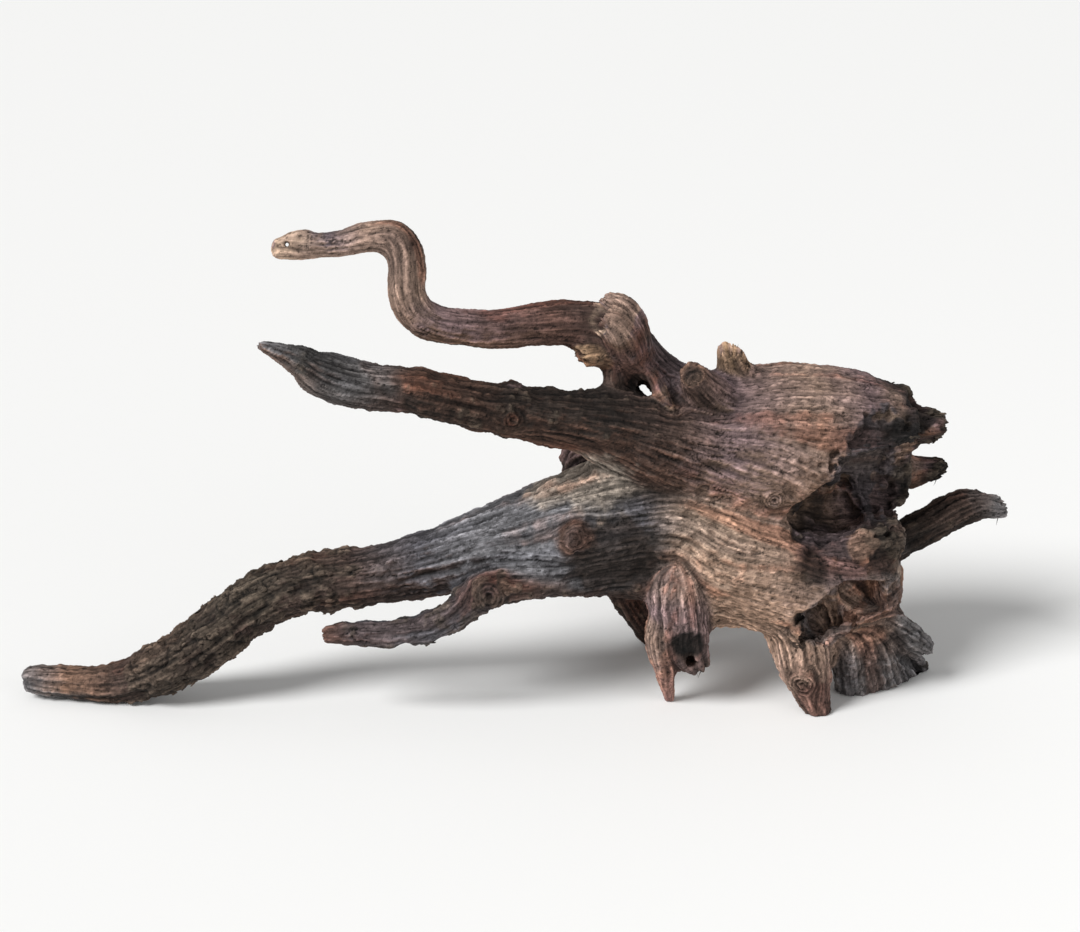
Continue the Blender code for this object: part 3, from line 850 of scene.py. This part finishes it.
report("reading the shape")
skinItem = rawSkin()
report("skin made")
points, faces = readPoints(skinItem.data)
points, fields = carve(points, faces)
toneColour = colourWood(points, fields)
rootMesh = bpy.data.meshes.new("wholeRoot")
rootMesh.from_pydata(points, [], faces)
rootMesh.shade_smooth()
storeAttribute(rootMesh, "tone", "FLOAT_COLOR", np.c_[toneColour, np.ones(len(points))])
storeAttribute(rootMesh, "grain", "FLOAT_VECTOR", fields["flow"])
shading = np.empty(len(points) * 3, np.float32)
rootMesh.vertices.foreach_get("normal", shading)
storeAttribute(rootMesh, "shading", "FLOAT_VECTOR", shading.reshape(-1, 3))
storeAttribute(rootMesh, "bark", "FLOAT", fields["crust"])
storeAttribute(rootMesh, "torn", "FLOAT", smoothStep(0.35, 0.8, fields["torn"]))
bpy.data.objects.remove(skinItem)
wholeRoot = newItem("wholeRoot", rootMesh)
report("surface made")


# materials

def node(tree, kind, **values):  # a capital letter starts a socket's name, a small one a setting's
    made = tree.nodes.new(kind)
    for key, value in values.items():
        if key[0].isupper():
            made.inputs[key].default_value = value
        else:
            setattr(made, key, value)
    return made


def link(tree, source, target):
    tree.links.new(source, target)


def mathNode(tree, operation, first, second, clamp=False):
    made = node(tree, "ShaderNodeMath", operation=operation, use_clamp=clamp)
    for socket, value in zip(made.inputs, (first, second)):
        if isinstance(value, (int, float)):
            socket.default_value = value
        else:
            link(tree, value, socket)
    return made.outputs[0]


def grainGroup():  # fine noise averaged along the grain, so that it draws out into hair-thin fibres
    group = bpy.data.node_groups.new("fineGrain", "ShaderNodeTree")
    for name, kind in (("Place", "NodeSocketVector"), ("Grain", "NodeSocketVector"),
                       ("Fineness", "NodeSocketFloat"), ("Stride", "NodeSocketFloat"),
                       ("Contrast", "NodeSocketFloat")):
        group.interface.new_socket(name, in_out="INPUT", socket_type=kind)
    group.interface.new_socket("Fibre", in_out="OUTPUT", socket_type="NodeSocketFloat")
    inside = node(group, "NodeGroupInput")
    outside = node(group, "NodeGroupOutput")
    total = None
    steps = 7
    for step in range(steps):
        stretch = mathNode(group, "MULTIPLY", inside.outputs["Stride"], step - (steps - 1) / 2)
        shift = node(group, "ShaderNodeVectorMath", operation="SCALE")
        link(group, inside.outputs["Grain"], shift.inputs[0])
        link(group, stretch, shift.inputs["Scale"])
        place = node(group, "ShaderNodeVectorMath", operation="ADD")
        link(group, inside.outputs["Place"], place.inputs[0])
        link(group, shift.outputs[0], place.inputs[1])
        noise = node(group, "ShaderNodeTexNoise", Detail=1.0, Roughness=0.5)
        link(group, place.outputs[0], noise.inputs["Vector"])
        link(group, inside.outputs["Fineness"], noise.inputs["Scale"])
        value = noise.outputs[0]
        total = value if total is None else mathNode(group, "ADD", total, value)
    average = mathNode(group, "DIVIDE", total, float(steps))
    centred = mathNode(group, "SUBTRACT", average, 0.5)
    scaled = mathNode(group, "MULTIPLY", centred, inside.outputs["Contrast"])
    link(group, mathNode(group, "ADD", scaled, 0.5, clamp=True), outside.inputs["Fibre"])
    return group


def attributeNode(tree, name):
    return node(tree, "ShaderNodeAttribute", attribute_name=name)


def curveOn(tree, value, low, high, outLow, outHigh):
    made = node(tree, "ShaderNodeMapRange")
    for socket, number in zip(made.inputs[1:5], (low, high, outLow, outHigh)):
        socket.default_value = number
    link(tree, value, made.inputs[0])
    return made.outputs[0]


woodFinish = {"fineness": 1150, "stride": 0.0008, "contrast": 3.4, "coarseness": 520, "pitScale": 420,
              "bump": 0.55, "bumpDepth": 0.0006, "roughLow": 0.72, "roughHigh": 0.95}


def woodMaterial(grain):
    material = bpy.data.materials.new("weatheredWood")
    material.use_nodes = True
    tree = material.node_tree
    shader = tree.nodes["Principled BSDF"]
    shader.inputs["Specular IOR Level"].default_value = 0.22
    tone = attributeNode(tree, "tone").outputs["Color"]
    place = node(tree, "ShaderNodeTexCoord").outputs["Object"]
    direction = attributeNode(tree, "grain").outputs["Vector"]
    fibres = []
    for fineness, stride in ((woodFinish["fineness"], woodFinish["stride"]),
                             (woodFinish["coarseness"], woodFinish["stride"] * 1.6)):
        made = node(tree, "ShaderNodeGroup", node_tree=grain)
        link(tree, place, made.inputs["Place"])
        link(tree, direction, made.inputs["Grain"])
        made.inputs["Fineness"].default_value = fineness
        made.inputs["Stride"].default_value = stride
        made.inputs["Contrast"].default_value = woodFinish["contrast"]
        fibres.append(made.outputs["Fibre"])
    together = mathNode(tree, "MULTIPLY", mathNode(tree, "ADD", fibres[0], fibres[1]), 0.5)
    pits = node(tree, "ShaderNodeTexNoise", Scale=woodFinish["pitScale"], Detail=2.0, Roughness=0.6)
    link(tree, place, pits.inputs["Vector"])
    pit = curveOn(tree, pits.outputs[0], 0.36, 0.46, 1.0, 0.0)
    pit = mathNode(tree, "MULTIPLY", pit, curveOn(tree, fibres[1], 0.3, 0.6, 1.0, 0.2))
    light = curveOn(tree, together, 0.2, 0.8, 0.45, 1.55)
    light = mathNode(tree, "MULTIPLY", light, curveOn(tree, pit, 0.0, 1.0, 1.0, 0.35))
    mixed = node(tree, "ShaderNodeVectorMath", operation="SCALE")
    link(tree, tone, mixed.inputs[0])
    link(tree, light, mixed.inputs["Scale"])
    link(tree, mixed.outputs[0], shader.inputs["Base Color"])
    link(tree, curveOn(tree, together, 0.2, 0.8, woodFinish["roughHigh"], woodFinish["roughLow"]),
         shader.inputs["Roughness"])
    height = mathNode(tree, "SUBTRACT", together, mathNode(tree, "MULTIPLY", pit, 0.6))
    bump = node(tree, "ShaderNodeBump", Strength=woodFinish["bump"], Distance=woodFinish["bumpDepth"])
    link(tree, height, bump.inputs["Height"])
    link(tree, bump.outputs["Normal"], shader.inputs["Normal"])
    return material


# bark flakes and splinters, scattered over the wood by Geometry Nodes

def chipMesh(name, length, width, thickness, curl):  # a thin ragged plate with few faces, lying along y
    outline = [(-0.5, -0.35), (-0.1, -0.5), (0.4, -0.42), (0.52, 0.1), (0.3, 0.45), (-0.2, 0.5), (-0.46, 0.2)]
    chip = bmesh.new()
    rings = []
    for lift, shrink in ((0, 1), (thickness, 0.72)):
        ring = [chip.verts.new((x * width * shrink, y * length * shrink, lift + curl * (2 * y) ** 2))
                for x, y in outline]
        rings.append(ring)
    count = len(outline)
    chip.faces.new(rings[0][::-1])
    chip.faces.new(rings[1])
    for i in range(count):
        after = (i + 1) % count
        chip.faces.new((rings[0][i], rings[0][after], rings[1][after], rings[1][i]))
    mesh = bpy.data.meshes.new(name)
    chip.to_mesh(mesh)
    chip.free()
    return newItem(name, mesh)


def splinterMesh(name, length, thickness):  # a bent three-sided needle, standing on z
    needle = bmesh.new()
    rings = []
    for share, bend, size in ((-0.15, 0, 1), (0.35, 0.05, 0.8), (0.75, 0.16, 0.45)):
        ring = []
        for corner in range(3):
            turn = corner * 2 * math.pi / 3
            ring.append(needle.verts.new((math.cos(turn) * thickness * size + bend * length,
                                          math.sin(turn) * thickness * size, share * length)))
        rings.append(ring)
    tip = needle.verts.new((0.3 * length, 0, length))
    needle.faces.new(rings[0][::-1])
    for lower, upper in zip(rings[:-1], rings[1:]):
        for i in range(3):
            needle.faces.new((lower[i], lower[(i + 1) % 3], upper[(i + 1) % 3], upper[i]))
    for i in range(3):
        needle.faces.new((rings[-1][i], rings[-1][(i + 1) % 3], tip))
    mesh = bpy.data.meshes.new(name)
    needle.to_mesh(mesh)
    needle.free()
    return newItem(name, mesh)


def scatterTree(name, shape, densityName, material, seed, standing):
    tree = bpy.data.node_groups.new(name, "GeometryNodeTree")
    tree.interface.new_socket("Wood", in_out="INPUT", socket_type="NodeSocketGeometry")
    inputs = {}
    for label, value in (("Density", 1000.0), ("Smallest", 0.6), ("Largest", 1.4), ("Sink", 0.0),
                         ("Lean", 0.3)):
        socket = tree.interface.new_socket(label, in_out="INPUT", socket_type="NodeSocketFloat")
        socket.default_value = value
        inputs[label] = socket.identifier
    tree.interface.new_socket("Pieces", in_out="OUTPUT", socket_type="NodeSocketGeometry")
    inside = node(tree, "NodeGroupInput")
    where = node(tree, "GeometryNodeInputNamedAttribute", data_type="FLOAT", Name=densityName)
    scatter = node(tree, "GeometryNodeDistributePointsOnFaces", distribute_method="RANDOM", Seed=seed)
    link(tree, inside.outputs["Wood"], scatter.inputs["Mesh"])
    density = mathNode(tree, "MULTIPLY", where.outputs["Attribute"], inside.outputs["Density"])
    link(tree, density, scatter.inputs["Density"])
    grain = node(tree, "GeometryNodeInputNamedAttribute", data_type="FLOAT_VECTOR", Name="grain")
    upright = node(tree, "FunctionNodeAlignRotationToVector", axis="Z")
    aligned = node(tree, "FunctionNodeAlignRotationToVector", axis="Y", pivot_axis="Z")
    if standing:  # splinters stand along the grain, leaning out a little
        outward = node(tree, "ShaderNodeVectorMath", operation="SCALE")
        link(tree, scatter.outputs["Normal"], outward.inputs[0])
        link(tree, inside.outputs["Lean"], outward.inputs["Scale"])
        lean = node(tree, "ShaderNodeVectorMath", operation="ADD")
        link(tree, grain.outputs["Attribute"], lean.inputs[0])
        link(tree, outward.outputs[0], lean.inputs[1])
        link(tree, lean.outputs[0], upright.inputs["Vector"])
    else:
        link(tree, scatter.outputs["Normal"], upright.inputs["Vector"])
    link(tree, upright.outputs["Rotation"], aligned.inputs["Rotation"])
    link(tree, grain.outputs["Attribute"], aligned.inputs["Vector"])
    turn = node(tree, "FunctionNodeRandomValue", data_type="FLOAT_VECTOR", Seed=seed + 1)
    turn.inputs[0].default_value = (-0.25, -0.25, -0.6) if not standing else (-0.35, -0.35, -3.1)
    turn.inputs[1].default_value = (0.25, 0.25, 0.6) if not standing else (0.35, 0.35, 3.1)
    turned = node(tree, "FunctionNodeRotateRotation", rotation_space="LOCAL")
    link(tree, (upright if standing else aligned).outputs["Rotation"], turned.inputs[0])
    link(tree, turn.outputs["Value"], turned.inputs[1])
    size = node(tree, "FunctionNodeRandomValue", data_type="FLOAT", Seed=seed + 2)
    link(tree, inside.outputs["Smallest"], size.inputs[2])
    link(tree, inside.outputs["Largest"], size.inputs[3])
    shapeNode = node(tree, "GeometryNodeObjectInfo", transform_space="ORIGINAL")
    shapeNode.inputs["Object"].default_value = shape
    place = node(tree, "GeometryNodeInstanceOnPoints")
    link(tree, scatter.outputs["Points"], place.inputs["Points"])
    link(tree, shapeNode.outputs["Geometry"], place.inputs["Instance"])
    link(tree, turned.outputs["Rotation"], place.inputs["Rotation"])
    link(tree, size.outputs[1], place.inputs["Scale"])
    sink = node(tree, "GeometryNodeTranslateInstances")
    drop = node(tree, "ShaderNodeCombineXYZ")
    link(tree, inside.outputs["Sink"], drop.inputs["Z"])
    link(tree, place.outputs[0], sink.inputs["Instances"])
    link(tree, drop.outputs[0], sink.inputs["Translation"])
    real = node(tree, "GeometryNodeRealizeInstances")
    link(tree, sink.outputs[0], real.inputs[0])
    finish = node(tree, "GeometryNodeSetMaterial", Material=material)
    link(tree, real.outputs[0], finish.inputs[0])
    link(tree, finish.outputs[0], node(tree, "NodeGroupOutput").inputs[0])
    return tree, inputs


def scattered(name, shape, densityName, material, seed, standing, values):
    tree, inputs = scatterTree(name, shape, densityName, material, seed, standing)
    modifier = wholeRoot.modifiers.new(name, "NODES")
    modifier.node_group = tree
    for label, value in values.items():
        modifier[inputs[label]] = value
    mesh = evaluatedMesh(wholeRoot)
    wholeRoot.modifiers.remove(modifier)
    bpy.data.objects.remove(shape)
    report(f"{name}: {len(mesh.polygons)} faces")
    return newItem(name, mesh)


def finished(piece):
    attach(piece, "root")
    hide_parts("dry_root")


grain = grainGroup()
wood = woodMaterial(grain)
rootMesh.materials.append(wood)
finished(scattered("barkFlakes", chipMesh("chip", 3.6 * mm, 2.2 * mm, 0.5 * mm, 0.35 * mm), "bark", wood, 5,
                   False, {"Density": pieceSettings["flakes"], "Smallest": 0.5, "Largest": 1.5,
                           "Sink": -0.15 * mm}))
finished(scattered("splinters", splinterMesh("needle", 6 * mm, 0.35 * mm), "torn", wood, 8, True,
                   {"Density": pieceSettings["splinters"], "Smallest": 0.35, "Largest": 1.3,
                    "Sink": 0.0, "Lean": 0.45}))
borders = np.quantile(points[:, 0], np.arange(1, pieceSettings["count"]) / pieceSettings["count"])
edges = [None] + [float(border) for border in borders] + [None]
for index, (low, high) in enumerate(zip(edges[:-1], edges[1:]), 1):
    part = newItem(f"rootWood{index}", cutAt(rootMesh, low, high))
    report(f"{part.name}: {len(part.data.polygons)} faces")
    finished(part)
bpy.data.objects.remove(wholeRoot)


# floor, lights and camera

studio = {
    "floorSize": 40,  # metres, so that its far edge stays out of low views
    "floorColour": (0.88, 0.88, 0.87), "world": 0.36,
    "keyStrength": 3.2, "keyFrom": (-0.85, -0.65, 1.0), "keySoftness": 24,
    "fillPower": 5, "fillPlace": (1.2, -1.3, 0.7), "fillSize": 1.4,
}


def makeFloor():
    bpy.ops.mesh.primitive_plane_add(size=studio["floorSize"], location=(0, 0, -0.0005))
    floor = bpy.context.active_object
    floor.name = "floor"
    material = bpy.data.materials.new("paleFloor")
    material.use_nodes = True
    shader = material.node_tree.nodes["Principled BSDF"]
    shader.inputs["Base Color"].default_value = (*studio["floorColour"], 1)
    shader.inputs["Roughness"].default_value = 0.9
    floor.data.materials.append(material)


def areaLight(name, place, power, size, target=(0.03, 0, 0.13)):
    light = bpy.data.lights.new(name, "AREA")
    light.energy = power
    light.shape = "DISK"
    light.size = size
    item = newItem(name, light)
    item.location = place
    item.rotation_euler = (Vector(target) - Vector(place)).to_track_quat("-Z", "Y").to_euler()


def sunLight(name, comesFrom, strength, softness):
    light = bpy.data.lights.new(name, "SUN")
    light.energy = strength
    light.angle = math.radians(softness)
    item = newItem(name, light)
    item.rotation_euler = (-Vector(comesFrom)).to_track_quat("-Z", "Y").to_euler()


def makeStudio():
    makeFloor()
    sunLight("keyLight", studio["keyFrom"], studio["keyStrength"], studio["keySoftness"])
    areaLight("fillLight", studio["fillPlace"], studio["fillPower"], studio["fillSize"])
    world = bpy.data.worlds.new("studio")
    world.use_nodes = True
    world.node_tree.nodes["Background"].inputs["Color"].default_value = (1, 1, 1, 1)
    world.node_tree.nodes["Background"].inputs["Strength"].default_value = studio["world"]
    bpy.context.scene.world = world
    bpy.context.scene.view_settings.view_transform = "Standard"


def makeCamera():
    lens = {"target": (17.5, -9, 162), "distance": 1365, "elevation": 20, "focal": 70}
    camera = bpy.data.cameras.new("camera")
    camera.lens = lens["focal"]
    camera.sensor_width = 36
    item = newItem("camera", camera)
    rise = math.radians(lens["elevation"])
    back = Vector((0, -math.cos(rise), math.sin(rise)))
    item.location = (Vector(lens["target"]) + back * lens["distance"]) * mm
    item.rotation_euler = (-back).to_track_quat("-Z", "Y").to_euler()
    bpy.context.scene.camera = item


makeStudio()
makeCamera()
